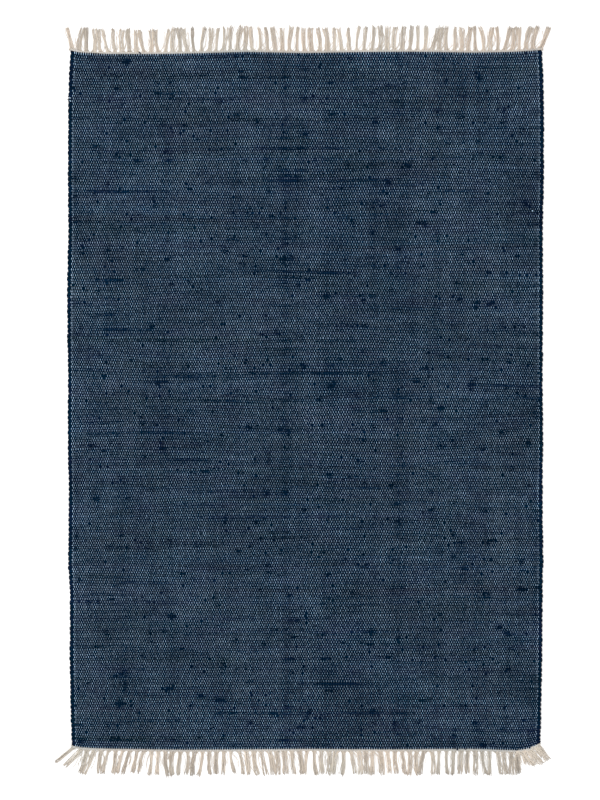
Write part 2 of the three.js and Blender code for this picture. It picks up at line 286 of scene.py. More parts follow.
class RagRugCloth(bpy.types.PropertyGroup):
    picks: a_count("Picks", "Rag strips from one end to the other", 273, 20)
    warp_ends: a_count("Warp ends", "Cotton threads across the cloth", 390, 20)
    crest_height: a_length("Crest height", "How high a pick stands above the floor", 6.2 * MM)
    groove_height: a_length("Groove height", "How high the seam between two picks lies", 4.1 * MM)
    unevenness: FloatProperty(
        name="Unevenness",
        description="How much the picks differ in width",
        default=0.08,
        min=0,
        max=0.3,
        subtype="FACTOR",
    )
    tick_width: a_length("Tick width", "Width of a warp end where it shows", 1.23 * MM)
    tick_rise: a_length("Tick rise", "How far a warp end stands above the rag", 0.8 * MM)
    streaks: a_count("Fat stretches", "Stretches of thicker rag", 130)
    slubs: a_count("Slubs", "Knots and rag ends that stand up", 440)
    seed: a_count("Seed", "Changes the chance unevenness", 7)


class RagRugFringe(bpy.types.PropertyGroup):
    threads: a_count("Threads", "Threads in each lock", 12, 3)
    thread_radius: a_length("Thread radius", "Half the thickness of a fringe thread", 1 * MM)
    root_spread: a_length("Root spread", "Half a lock's width at its heading", 4.1 * MM)
    tip_spread: a_length("Tip spread", "Half a lock's width at its tip", 5.6 * MM)
    strays: a_count("Strays", "Thin loose threads at each end", 250)
    twists: a_count("Twists", "Turns of the yarn along a heading", 130, 10)
    seed: a_count("Seed", "Changes how the threads fall", 3)


class RagRugColours(bpy.types.PropertyGroup):
    rag: a_colour("Rag", "Colour of the navy rag", 2, 24, 45)
    worn_rag: a_colour("Worn rag", "Colour of the paler, washed-out rags", 7, 40, 67)
    warp: a_colour("Warp", "Colour of the warp where it shows on the cloth", 170, 196, 219)
    cotton: a_colour("Cotton", "Colour of the fringe", 216, 203, 189)
    heading: a_colour("Heading", "Colour of the heading", 200, 194, 187)
    floor: a_colour("Floor", "Colour of the floor", 250, 250, 250)


# What the solids say


def corners_at(node, height):
    """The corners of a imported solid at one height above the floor, in order across the rug."""
    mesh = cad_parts[node].data
    points = np.empty(3 * len(mesh.vertices), np.float32)
    mesh.vertices.foreach_get("co", points)
    points = points.reshape(-1, 3).astype(float)
    level = np.abs(points[:, 2] - height) < 0.04 * MM
    return np.unique(points[level].round(6), axis=0)


def selvedge_line(side):
    """Places along the rug, and how far across it the rag turns there. The solid is notched at
    every second groove, so each place takes the outermost of its neighbours."""
    rim = corners_at("rag_cloth", SELVEDGE_HEIGHT)
    rim = rim[rim[:, 0] * side > 0]
    rim = rim[np.argsort(rim[:, 1])]
    padded = np.pad(rim[:, 0] * side, 2, mode="edge")
    outermost = np.max([padded[shift : shift + len(rim)] for shift in range(5)], axis=0)
    return rim[:, 1], side * outermost


def heading_edges(node):
    """Places across a heading, and how far from the middle of the rug its inner and outer edges
    lie there."""
    top = corners_at(node, HEADING_HEIGHT)
    across, column = np.unique(top[:, 0].round(4), return_inverse=True)
    inner = np.full(len(across), np.inf)
    outer = np.zeros(len(across))
    np.minimum.at(inner, column, np.abs(top[:, 1]))
    np.maximum.at(outer, column, np.abs(top[:, 1]))
    whole = outer - inner > HEADING_DEPTH / 2
    return across[whole], inner[whole], outer[whole]


def lock_paths(node, side):
    """The middle line of each lock, as four points on the floor: its root inside the heading and
    the three later steps of its solid. A smooth line through the three gives the root. Corners
    where a lock meets its heading are left out."""
    across, _, outer = heading_edges(node)
    steps = []
    for height in LOCK_HEIGHTS:
        top = corners_at(node, height)[:, :2]
        clear = np.abs(top[:, 1]) > np.interp(top[:, 0], across, outer) + ROOT_SINK
        top = top[clear]
        steps.append((top[0::2] + top[1::2]) / 2)
    first, second, last = steps
    root = 3 * first - 3 * second + last
    root[:, 1] = side * (np.interp(root[:, 0], across, outer) - ROOT_SINK)
    return np.stack([root, first, second, last], axis=1)


# The weave


def wander(rng, count, places, bends):
    """Count rows of numbers that change smoothly across the cloth: random ones of spread 1 at
    even places, eased from each to the next."""
    fixed = rng.standard_normal((count, bends + 1))
    before = np.minimum((places * bends).astype(int), bends - 1)
    share = places * bends - before
    ease = share * share * (3 - 2 * share)
    return fixed[:, before] * (1 - ease) + fixed[:, before + 1] * ease


def between(table, row, place):
    """A table's value at a row and at a place across, straight between its entries."""
    column = place * (table.shape[1] - 1)
    r = np.clip(np.floor(row).astype(int), 0, table.shape[0] - 2)
    c = np.clip(np.floor(column).astype(int), 0, table.shape[1] - 2)
    down = row - r
    right = column - c
    upper = (1 - right) * table[r, c] + right * table[r, c + 1]
    lower = (1 - right) * table[r + 1, c] + right * table[r + 1, c + 1]
    return (1 - down) * upper + down * lower


class Weave:
    """Where the picks and warp ends lie, how thick the rag is and how far the warp stands out.
    A table has a row for each pick and a column for each knot across the cloth."""

    def __init__(self, cloth):
        rng = np.random.default_rng(cloth.seed)
        knots = np.linspace(0, 1, KNOTS)
        self.picks = cloth.picks
        self.rims = [selvedge_line(-1), selvedge_line(1)]
        self.fat = self.fat_stretches(rng, cloth.streaks, knots)
        widths = 1 + cloth.unevenness * wander(rng, self.picks, knots, BENDS)
        self.seams = self.seam_lines(widths + FAT_WIDTH * self.fat, knots)
        lumps = LUMPINESS * wander(rng, self.picks, knots, 2 * BENDS)
        self.crest = cloth.crest_height + lumps + FAT_RISE * self.fat
        self.groove = cloth.groove_height
        self.tones = rng.standard_normal(8 * self.picks)
        self.hues = rng.standard_normal(8 * self.picks)
        self.strip_ends = np.cumsum(rng.uniform(*STRIP_LENGTHS, 8 * self.picks))
        self.tick_tone = wander(rng, self.picks, knots, BENDS)
        self.bands = PATCH_WEIGHT * rng.standard_normal(BANDS)
        self.bands += COLUMN_WEIGHT * rng.standard_normal(BANDS[1])
        self.bare = np.clip(wander(rng, self.picks, knots, BARE_BENDS) - 1, 0, 1)
        self.warp_places = self.spread_warp(rng, cloth.warp_ends)
        self.slub_picks = rng.integers(1, self.picks - 1, cloth.slubs)
        self.slub_places = rng.uniform(*SLUB_PLACES, cloth.slubs)
        self.slub_sizes = rng.random(cloth.slubs) ** 2

    def fat_stretches(self, rng, count, knots):
        """How fat each pick is at each knot, from 0: a dome of the squared distance from the
        middle of each fat stretch."""
        pick = rng.integers(0, self.picks, count)
        middle = rng.random((count, 1))
        reach = rng.uniform(*FAT_REACH, (count, 1))
        swell = rng.uniform(*FAT_SWELL, (count, 1))
        domes = swell * np.clip(1 - ((knots - middle) / reach) ** 2, 0, 1)
        fat = np.zeros((self.picks, len(knots)))
        np.add.at(fat, pick, domes)
        return fat

    def seam_lines(self, widths, knots):
        """How far along the rug each seam between picks lies at each knot: the widths summed up,
        evened out by the beater, bent to the two end lines near them and swaying a little
        between."""
        counted = np.arange(self.picks + 1)[:, None]
        gained = np.vstack([np.zeros(len(knots)), np.cumsum(widths, axis=0)]) - counted
        padded = np.pad(gained, ((BEATEN, BEATEN), (0, 0)), mode="edge")
        window = 2 * BEATEN + 1
        summed = np.cumsum(np.vstack([np.zeros(len(knots)), padded]), axis=0)
        gained -= (summed[window:] - summed[:-window]) / window
        fixed = np.minimum(counted, self.picks - counted) / BEATEN
        share = (counted + gained * np.minimum(fixed, 1)) / self.picks
        share += BEAT * (share**2 - share)
        half = CLOTH_LENGTH / 2
        seams = half * (2 * share - 1)
        for side, node in ENDS.values():
            across, inner, _ = heading_edges(node)
            inset = half + SEAM_GAP - np.interp(self.across(knots, side * half), across, inner)
            ease = (share if side > 0 else 1 - share) ** END_EASE
            seams -= side * inset * ease
        x = knots - 0.5
        sway = np.sin(7 * x + 23 * share) + 0.6 * np.sin(15 * x - 41 * share)
        return seams + PICK_WAVE * sway * np.sin(np.pi * share)

    def spread_warp(self, rng, count):
        """The place across of each warp end: even steps, drifting a little and closer at the
        edges, with the three outermost ends of each side side by side."""
        steps = np.ones(count - 1)
        drift = np.cumsum(rng.standard_normal(count - 1))
        drift -= np.linspace(drift[0], drift[-1], count - 1)
        steps += 0.04 * np.sin(drift / 3)
        from_edge = np.minimum(np.arange(count - 1), np.arange(count - 1)[::-1])
        steps *= 1 - 0.06 * np.exp(-from_edge / 25)
        steps[from_edge < 2] = EDGE_STEP
        place = np.concatenate([[0], np.cumsum(steps)])
        left, right = np.array(WARP_MARGINS) / CLOTH_WIDTH
        return left + (1 - left - right) * place / place[-1]

    def warp_drift(self, row, place):
        """How far the warp strays sideways, as a share of the width: two slow waves."""
        waves = np.sin(0.031 * row + 9 * place) + 0.7 * np.sin(0.073 * row - 21 * place)
        return waves * (WARP_DRIFT / CLOTH_WIDTH)

    def ends_at(self, row, place):
        """Which warp end lies at a place, counted from the left, with the share to the next."""
        count = np.arange(len(self.warp_places))
        return np.interp(place - self.warp_drift(row, place), self.warp_places, count)

    def across(self, place, along):
        """How far across the rug a place lies, at a distance along it."""
        left, right = [np.interp(along, *rim) for rim in self.rims]
        return left + (right - left) * place

    def along(self, row, place):
        """How far along the rug a row lies at a place."""
        return between(self.seams, row, place)

    def slub_shade(self, shape):
        """How much the slubs hide each warp end at each pick: the sum of a bell curve round every
        slub, wider and higher for a larger one. The warp ends they hide are also painted darker,
        as painted shade."""
        shade = np.zeros(shape)
        middle = self.ends_at(self.slub_picks + 0.5, self.slub_places).round().astype(int)
        width = 4 + 9 * self.slub_sizes
        height = 0.5 + 0.4 * self.slub_sizes
        ends, picks = SLUB_REACH
        for aside in range(-ends, ends + 1):
            for ahead in range(-picks, picks + 1):
                end = np.clip(middle + aside, 0, shape[0] - 1)
                pick = np.clip(self.slub_picks + ahead, 0, shape[1] - 1)
                bell = height * np.exp(-(aside**2) / width - ahead**2 / 2)
                np.add.at(shade, (end, pick), bell)
        return shade

    def band_at(self, row, place):
        """How loose the warp is round there, around 0."""
        return between(self.bands, row / self.picks * (BANDS[0] - 1), place)

    def rag_strip(self, pick, place):
        """Which strip of rag lies there. The rag runs to the right in even picks and back in
        odd ones, and one strip follows the other."""
        run = np.where(pick % 2 == 0, place, 1 - place)
        return np.searchsorted(self.strip_ends, (pick + run) * CLOTH_WIDTH)


# Making meshes


def make_piece(name, points, quads, others=()):
    """A smooth mesh from its points, its four-cornered faces and arrays of other faces."""
    faces = [quads, *others]
    corners = np.concatenate([f.ravel() for f in faces])
    sizes = np.concatenate([np.full(len(f), f.shape[1]) for f in faces])
    mesh = bpy.data.meshes.new(name)
    mesh.vertices.add(len(points))
    mesh.vertices.foreach_set("co", points.astype(np.float32).ravel())
    mesh.loops.add(len(corners))
    mesh.loops.foreach_set("vertex_index", corners.astype(np.int32))
    mesh.polygons.add(len(sizes))
    mesh.polygons.foreach_set("loop_start", (np.cumsum(sizes) - sizes).astype(np.int32))
    mesh.update(calc_edges=True)
    mesh.shade_smooth()
    piece = bpy.data.objects.new(name, mesh)
    bpy.context.scene.collection.objects.link(piece)
    return piece


def add_values(piece, **values):
    """Gives each point of a piece some named numbers for its material to read."""
    for name, numbers in values.items():
        layer = piece.data.attributes.new(name, "FLOAT", "POINT")
        layer.data.foreach_set("value", numbers.astype(np.float32).ravel())


def add_map(piece, name, places):
    """Gives a piece a map, with a place for each corner of each of its faces in turn."""
    layer = piece.data.uv_layers.new(name=name, do_init=False)
    layer.uv.foreach_set("vector", places.astype(np.float32).ravel())


def tube_faces(count, rings, sides):
    """The faces of closed tubes: four-cornered ones between neighbouring rings, and a cap at
    each end. The points of a ring follow the right-hand rule about the tube's direction."""
    corner = np.arange(count * rings * sides).reshape(count, rings, sides)
    here = corner[:, :-1]
    ahead = corner[:, 1:]
    quads = np.stack(
        [here, np.roll(here, -1, axis=2), np.roll(ahead, -1, axis=2), ahead], axis=-1
    )
    caps = np.stack([corner[:, 0, ::-1], corner[:, -1]], axis=1)
    return quads.reshape(-1, 4), caps.reshape(-1, sides)


def cells_between(here, ahead):
    """Where the four corners of each cell between two rows of map places lie, going round as
    tube_faces does."""
    corners = [here[..., :-1, :], here[..., 1:, :], ahead[..., 1:, :], ahead[..., :-1, :]]
    return np.stack(corners, axis=-2).reshape(-1, 2)


def tube_map(count, rings, sides, shelves):
    """A map for tube_faces on which no two faces overlap. The tubes stand side by side as tall
    strips, on one or more shelves, with their caps below and above them."""
    per_shelf = -(-count // shelves)
    tube = np.arange(count)
    left = (tube % per_shelf)[:, None, None] / per_shelf
    floor = (tube // per_shelf)[:, None, None] / shelves
    u = left + (0.1 + 0.8 * np.arange(sides + 1) / sides) / per_shelf
    v = floor + (0.04 + 0.92 * np.arange(rings)[:, None] / (rings - 1)) / shelves
    place = np.stack(np.broadcast_arrays(u, v), axis=-1)
    turn = 2 * np.pi * np.arange(sides) / sides
    round_u = 0.5 + 0.35 * np.cos(turn)
    round_v = 0.012 * np.sin(turn)
    middle = np.array([[0.018], [0.982]])
    caps_u = left + round_u / per_shelf + 0 * middle
    caps_v = floor + (middle + round_v) / shelves
    caps = np.stack([caps_u, caps_v], axis=-1)
    return np.concatenate([cells_between(place[:, :-1], place[:, 1:]), caps.reshape(-1, 2)])


def ply_map(count, rings, sides, length):
    """A map for tube_faces that counts turns round each thread and plies along it."""
    u = np.arange(sides + 1) / sides
    v = np.arange(rings)[:, None] / (rings - 1) * length / PLY_LENGTH
    place = np.stack(np.broadcast_arrays(u, v), axis=-1)
    caps = np.zeros((2 * count * sides, 2))
    return np.concatenate([np.tile(cells_between(place[:-1], place[1:]), (count, 1)), caps])


def thread_rings(centres, radii, sides):
    """Rings of points round lines that run level: each point of a ring is the line's own point
    plus the radius times the cosine to the left and the sine upwards."""
    ahead = np.gradient(centres[:, :, :2], axis=1)
    ahead /= np.linalg.norm(ahead, axis=2, keepdims=True)
    left = np.zeros_like(centres)
    left[:, :, 0] = -ahead[:, :, 1]
    left[:, :, 1] = ahead[:, :, 0]
    turn = (2 * np.pi * np.arange(sides) / sides)[:, None]
    ring = np.cos(turn) * left[:, :, None] + np.sin(turn) * np.array([0, 0, 1])
    return centres[:, :, None] + radii[:, :, None, None] * ring


def finish_piece(piece, material, slot, *nodes):
    """Gives a piece its material and body, and hides the solids that it stands for. Its slot is
    not used.
    """
    piece.data.materials.append(material)
    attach(piece, "root")
    if nodes:
        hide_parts(*nodes)


def make_tubes(name, points, **values):
    """A piece of closed tubes, from the points of their rings. Each ring has named numbers."""
    shape = points.shape[:3]
    quads, caps = tube_faces(*shape)
    piece = make_piece(name, points.reshape(-1, 3), quads, [caps])
    for key, numbers in values.items():
        add_values(piece, **{key: np.broadcast_to(np.asarray(numbers)[..., None], shape)})
    return piece


def make_threads(name, points, material, length, *nodes, shelves=0, **values):
    """A piece of cotton threads. Its Ply map counts plies over their length, and a map for
    baking is laid out where a number of shelves is given."""
    piece = make_tubes(name, points, **values)
    shape = points.shape[:3]
    if shelves:
        add_map(piece, "OFBake", tube_map(*shape, shelves))
    add_map(piece, "Ply", ply_map(*shape, length))
    finish_piece(piece, material, "cream_cotton", *nodes)


# Materials


def add_node(tree, kind, inputs=(), **settings):
    """Adds a node with its settings, and gives each named or numbered input a value or a link."""
    node = tree.nodes.new(kind)
    for name, value in settings.items():
        setattr(node, name, value)
    for name, value in dict(inputs).items():
        if isinstance(value, bpy.types.NodeSocket):
            tree.links.new(value, node.inputs[name])
        else:
            node.inputs[name].default_value = value
    return node


def compute(tree, operation, *numbers, clamp=False):
    """The result of one sum on numbers or sockets."""
    settings = {"operation": operation, "use_clamp": clamp}
    return add_node(tree, "ShaderNodeMath", dict(enumerate(numbers)), **settings).outputs[0]


def blend_colours(tree, share, first, second, way="MIX"):
    """Two colours mixed by a share, as the colour sockets of a Mix node."""
    inputs = {0: share, 6: first, 7: second}
    node = add_node(tree, "ShaderNodeMix", inputs, data_type="RGBA", blend_type=way)
    return node.outputs[2]


def value_of(tree, name):
    """A number that a piece's points carry."""
    return add_node(tree, "ShaderNodeAttribute", attribute_name=name).outputs["Fac"]


def noise(tree, place, scale, detail=2.0, stretch=(1, 1, 1)):
    """Noise from 0 to 1, stretched along an axis by giving it a smaller number."""
    mapped = add_node(tree, "ShaderNodeMapping", {"Vector": place, "Scale": stretch}).outputs[0]
    inputs = {"Vector": mapped, "Scale": scale, "Detail": detail}
    return add_node(tree, "ShaderNodeTexNoise", inputs).outputs["Fac"]


def spread(tree, value, low, high, start=0.0, stop=1.0):
    """A number between start and stop spread over another range."""
    inputs = {"Value": value, "From Min": start, "From Max": stop, "To Min": low, "To Max": high}
    return add_node(tree, "ShaderNodeMapRange", inputs).outputs[0]


def new_group(name, inputs, outputs):
    """An empty node group with its sockets, and the nodes that hold them."""
    group = bpy.data.node_groups.new(name, "ShaderNodeTree")
    for socket, kind in inputs.items():
        group.interface.new_socket(socket, in_out="INPUT", socket_type="NodeSocket" + kind)
    for socket, kind in outputs.items():
        group.interface.new_socket(socket, in_out="OUTPUT", socket_type="NodeSocket" + kind)
    return group, group.nodes.new("NodeGroupInput").outputs, group.nodes.new("NodeGroupOutput")


def put_out(group, out, **values):
    """Links a node group's results to its output sockets."""
    for socket, value in values.items():
        group.links.new(value, out.inputs[socket])


def wear_group():
    """Slow changes over the whole rug, from treading, washing and dust: cloudy noise at two
    sizes makes a factor around 1, and slower noise a cast from cool to warm."""
    inputs = {"Place": "Vector", "Amount": "Float"}
    outputs = {"Factor": "Float", "Dust": "Float", "Cast": "Color"}
    group, given, out = new_group("Wear", inputs, outputs)
    clouds = noise(group, given["Place"], CLOUDS, 2.0, (1, 1.6, 1))
    patches = noise(group, given["Place"], PATCHES, 2.0, (0.55, 1.2, 1))
    part = compute(group, "MULTIPLY", patches, 0.4)
    mixed = compute(group, "MULTIPLY_ADD", clouds, 0.6, part)
    centred = compute(group, "SUBTRACT", mixed, 0.5)
    scaled = compute(group, "MULTIPLY", centred, given["Amount"])
    factor = compute(group, "MULTIPLY_ADD", scaled, 4.0, 1.0)
    warmth = spread(group, noise(group, given["Place"], CASTS, 3.0), 0.0, 1.0, 0.3, 0.7)
    cast = blend_colours(group, warmth, COOL, WARM)
    put_out(group, out, Factor=factor, Dust=patches, Cast=cast)
    return group


def crease_group():
    """The creases of crushed rag: noise drawn out along the strip, with finer threads in it. Its
    shading is painted light and shade: lighter on the folds and darker between them.
    """
    outputs = {"Tone": "Float", "Height": "Float"}
    group, given, out = new_group("Rag creases", {"Place": "Vector"}, outputs)
    folds = noise(group, given["Place"], FOLDS, 3.0, (0.3, 1, 1))
    threads = noise(group, given["Place"], RAG_THREADS, 1.0, (0.5, 1, 1))
    height = compute(group, "MULTIPLY_ADD", threads, 0.25, folds)
    put_out(group, out, Tone=spread(group, folds, 0.5, 1.5, 0.3, 0.7), Height=height)
    return group


def ply_group():
    """The twist of cotton yarn: slanting ridges from a map that counts turns round the thread and
    lengths along it, and fuzz between them. Its shading is painted light and shade: lighter on the
    ridges and the raised fuzz, darker between them."""
    inputs = {"Place": "Vector", "Turns": "Float"}
    group, given, out = new_group("Cotton ply", inputs, {"Tone": "Float", "Height": "Float"})
    ridges = compute(group, "SINE", compute(group, "MULTIPLY", given["Turns"], 2 * math.pi))
    fuzz = noise(group, given["Place"], FUZZ)
    height = compute(group, "MULTIPLY_ADD", ridges, 0.3, fuzz)
    # Painted light and shade: lighter on the ridges and where the fuzz stands higher
    tone = compute(group, "MULTIPLY_ADD", ridges, 0.05, spread(group, fuzz, 0.85, 1.15))
    put_out(group, out, Tone=tone, Height=height)
    return group


def use_group(tree, name, make, inputs):
    """A node group placed in a material with its own values, and made the first time that it is
    asked for."""
    group = bpy.data.node_groups.get(name) or make()
    return add_node(tree, "ShaderNodeGroup", inputs, node_tree=group).outputs


def new_material(name):
    """An empty material: its node tree, its shader and the object's own coordinates."""
    material = bpy.data.materials.new(name)
    material.use_nodes = True
    tree = material.node_tree
    tree.nodes.clear()
    shader = tree.nodes.new("ShaderNodeBsdfPrincipled")
    output = tree.nodes.new("ShaderNodeOutputMaterial")
    tree.links.new(shader.outputs["BSDF"], output.inputs["Surface"])
    place = add_node(tree, "ShaderNodeTexCoord").outputs["Object"]
    return material, tree, shader, place


def tinted(tree, colour, factor):
    """A colour made darker or lighter by a factor."""
    grey = add_node(tree, "ShaderNodeCombineColor", {0: factor, 1: factor, 2: factor}).outputs[0]
    return blend_colours(tree, 1.0, colour, grey, "MULTIPLY")


def set_bump(tree, shader, strength, distance, height):
    """Gives a shader a relief that the light follows."""
    inputs = {"Strength": strength, "Distance": distance, "Height": height}
    bump = add_node(tree, "ShaderNodeBump", inputs)
    tree.links.new(bump.outputs[0], shader.inputs["Normal"])


def map_counts(tree, name):
    """The two numbers that one of a piece's maps gives."""
    place = add_node(tree, "ShaderNodeUVMap", uv_map=name).outputs["UV"]
    return add_node(tree, "ShaderNodeSeparateXYZ", {0: place}).outputs


def rag_material(name, colours):
    """Navy rag: its tone and hue change from strip to strip, it is painted darker in the grooves
    as painted shade, its colour is painted lighter and darker along the folds of its creases as
    painted light and shade, and it dips where a warp end crosses it. The dip follows the Weave
    map, which counts warp ends and picks, as a cosine times a sine."""
    material, tree, shader, place = new_material(name)
    wear = use_group(tree, "Wear", wear_group, {"Place": place, "Amount": 0.3})
    creases = use_group(tree, "Rag creases", crease_group, {"Place": place})
    tone = spread(tree, value_of(tree, "rag_tone"), 0.0, 1.0, -2.0, 2.0)
    base = blend_colours(tree, tone, (*colours.rag, 1), (*colours.worn_rag, 1))
    patches = spread(tree, noise(tree, place, HUES), -3.6, 3.6)
    hue = compute(tree, "MULTIPLY_ADD", value_of(tree, "rag_hue"), 0.7, patches)
    for cast, amount in ((VIOLET, 0.16), (TEAL, -0.16)):
        share = compute(tree, "MULTIPLY", hue, amount, clamp=True)
        base = blend_colours(tree, share, base, cast)
    base = blend_colours(tree, 1.0, base, wear["Cast"], "MULTIPLY")
    # Painted shade: the colour is darkened where the groove value is high, in the grooves, the end
    # rows and on the slubs
    shade = compute(tree, "MULTIPLY_ADD", value_of(tree, "groove"), -0.7, 1.0)
    # Painted light and shade: the creases' shading follows their folds
    factor = compute(tree, "MULTIPLY", wear["Factor"], creases["Tone"])
    factor = compute(tree, "MULTIPLY", factor, shade)
    tree.links.new(tinted(tree, base, factor), shader.inputs["Base Color"])
    counts = map_counts(tree, "Weave")
    ends = compute(tree, "COSINE", compute(tree, "MULTIPLY", counts["X"], math.pi))
    picks = compute(tree, "SINE", compute(tree, "MULTIPLY", counts["Y"], math.pi))
    dips = compute(tree, "MULTIPLY", ends, picks)
    height = compute(tree, "MULTIPLY_ADD", dips, -0.6, creases["Height"])
    set_bump(tree, shader, 1.0, 2.5 * MM, height)
    tree.links.new(spread(tree, wear["Dust"], 0.86, 0.98), shader.inputs["Roughness"])
    shader.inputs["Specular IOR Level"].default_value = 0.02
    return material


def thread_material(name, colours):
    """Cotton thread: its tone is a number that each point carries, changed by wear and by painted
    light and shade on the twist of the yarn, which follows the Ply map."""
    material, tree, shader, place = new_material(name)
    finish = COTTONS[name]
    dye = getattr(colours, finish["colour"])
    wear = use_group(tree, "Wear", wear_group, {"Place": place, "Amount": finish["wear"]})
    counts = map_counts(tree, "Ply")
    turns = compute(tree, "ADD", counts["X"], counts["Y"])
    ply = use_group(tree, "Cotton ply", ply_group, {"Place": place, "Turns": turns})
    factor = compute(tree, "MULTIPLY", wear["Factor"], ply["Tone"])
    factor = compute(tree, "MULTIPLY", factor, value_of(tree, "thread_tone"))
    undyed = blend_colours(tree, value_of(tree, "undyed"), (*dye, 1), UNDYED)
    base = blend_colours(tree, 1.0, tinted(tree, undyed, factor), wear["Cast"], "MULTIPLY")
    dusty = compute(tree, "MULTIPLY", wear["Dust"], 0.16)
    base = blend_colours(tree, dusty, base, (*[0.8 * part for part in dye], 1))
    tree.links.new(base, shader.inputs["Base Color"])
    set_bump(tree, shader, 0.6, 0.2 * MM, ply["Height"])
    rough = spread(tree, wear["Dust"], finish["roughness"], 1.0)
    tree.links.new(rough, shader.inputs["Roughness"])
    shader.inputs["Specular IOR Level"].default_value = 0.05
    return material


def look_of(name, colours):
    """A material that several pieces use, made the first time that it is asked for."""
    make = thread_material if name in COTTONS else rag_material
    return bpy.data.materials.get(name) or make(name, colours)


# The pieces


def weft_columns():
    """The columns of points round the weft: up the left turn, across the top, down the right
    turn and back below. Gives each one's place across, how far it lies towards the top (1) or
    the underside (-1), and how near it is to the left and to the right selvedge."""
    turn = np.append(TURN_RADIUS * (1 - np.cos(TURN_ANGLES)), EDGE_BAND) / CLOTH_WIDTH
    turn_lift = np.append(np.sin(TURN_ANGLES), 1)
    band = EDGE_BAND / CLOTH_WIDTH
    inner = np.linspace(band, 1 - band, INNER_SPANS * SPLIT + 1)
    under_turn = TURN_RADIUS * (1 - np.cos(UNDER_ANGLES)) / CLOTH_WIDTH
    under_lift = -np.sin(UNDER_ANGLES)
    under = inner[::-SPLIT]
    place = np.concatenate(
        [turn, inner[1:-1], 1 - turn[::-1], 1 - under_turn[::-1], under, under_turn]
    )
    level = np.ones(len(inner) - 2)
    below = -np.ones(len(under))
    lift = np.concatenate([turn_lift, level, turn_lift[::-1], under_lift[::-1], below, under_lift])
    near_left = np.clip(1 - place / band, 0, 1)
    near_right = np.clip(1 - (1 - place) / band, 0, 1)
    return place, lift, near_left, near_right


def weft_caps():
    """The faces that close one end of the weft, as columns: one for each span of the underside
    with the top spans over it, and one for each selvedge."""
    turn = len(TURN_ANGLES)
    spans = INNER_SPANS * SPLIT
    last = turn + spans
    top = 2 * turn + spans + 1
    first_under = top + len(UNDER_ANGLES)
    start = turn + SPLIT * np.arange(INNER_SPANS)
    over = start[:, None] + np.arange(SPLIT + 1)
    below = first_under + (last - over[:, [-1, 0]]) // SPLIT
    middle = np.hstack([over, below])
    around = first_under + INNER_SPANS + np.arange(len(UNDER_ANGLES) + 1)
    left = np.concatenate([around, np.arange(turn + 1)])
    right = np.arange(last, first_under + 1)
    return middle, np.stack([left, right])


def weave_weft(cloth, colours):
    """The rag: one closed surface over all the picks. A point's height is its groove's plus the
    row's share of the rise to the crest, and near a selvedge it follows a quarter ellipse."""
    weave = Weave(cloth)
    rng = np.random.default_rng(cloth.seed + 1)
    place, lift, near_left, near_right = weft_columns()
    row_count = ROWS_PER_PICK * cloth.picks + 1
    index = np.arange(row_count)[:, None]
    row = index / ROWS_PER_PICK
    pick = np.minimum(index // ROWS_PER_PICK, cloth.picks - 1)
    step = index % ROWS_PER_PICK
    turn_rows = 2 * ROWS_PER_PICK
    loops = LOOP_SPREAD * rng.standard_normal((2, cloth.picks // 2 + 2))
    y = weave.along(row, place)
    y[0] -= END_BULGE
    y[-1] += END_BULGE
    x = weave.across(place, y)
    fill = np.zeros_like(x)
    fill[[0, -1]] = END_FILL
    for side, near, shift in ((1, near_left, 0), (-1, near_right, ROWS_PER_PICK)):
        loop_row = index + shift
        out = SCALLOP[loop_row % turn_rows] + loops[(side + 1) // 2][loop_row // turn_rows]
        x += side * near * out
        fill += near * LOOP_FILL[loop_row % turn_rows]
    crest = between(weave.crest, pick, place)
    rise = np.maximum(ROW_RISE[step], fill)
    top = weave.groove + (crest - weave.groove) * rise
    low = UNDER_GROOVE + (UNDER_CREST - UNDER_GROOVE) * rise
    z = MID_HEIGHT + np.where(lift > 0, lift * (top - MID_HEIGHT), lift * (MID_HEIGHT - low))
    points = np.stack([x, y, z], axis=-1)
    columns = len(place)
    quads, _ = tube_faces(1, row_count, columns)
    caps = weft_caps()
    first_row = [cap[:, ::-1] for cap in caps]
    last_row = [cap + (row_count - 1) * columns for cap in caps]
    piece = make_piece("rag_weft", points.reshape(-1, 3), quads, first_row + last_row)
    strip = weave.rag_strip(pick, place)
    strip_before = weave.rag_strip(np.maximum(pick - 1, 0), place)
    seam = (step == 0) & (index > 0) & (index < row_count - 1)
    blend = np.where(seam, 0.5, 1)
    tone, hue = [
        blend * drawn[strip] + (1 - blend) * drawn[strip_before]
        for drawn in (weave.tones, weave.hues)
    ]
    tone = 0.7 * tone + TURN_TONE * (near_left + near_right > 0)
    # Painted shade: full in the grooves and in the two rows at each end, less where a loop or a
    # heading fills the groove
    groove = GROOVE_SHADE[step] * (1 - fill) * np.ones_like(x)
    groove[[0, 1, -2, -1]] = 1
    add_values(piece, rag_tone=tone, rag_hue=hue, groove=groove)
    corners = np.concatenate([quads.ravel(), *[c.ravel() for c in first_row + last_row]])
    counts = np.stack([weave.ends_at(row, place), row + 0 * place], axis=-1).reshape(-1, 2)
    add_map(piece, "Weave", counts[corners])
    add_map(piece, "OFBake", weft_bake_map(row_count, place, lift, first_row, last_row))
    finish_piece(piece, look_of("woven_rag", colours), "navy_rag", "rag_cloth")


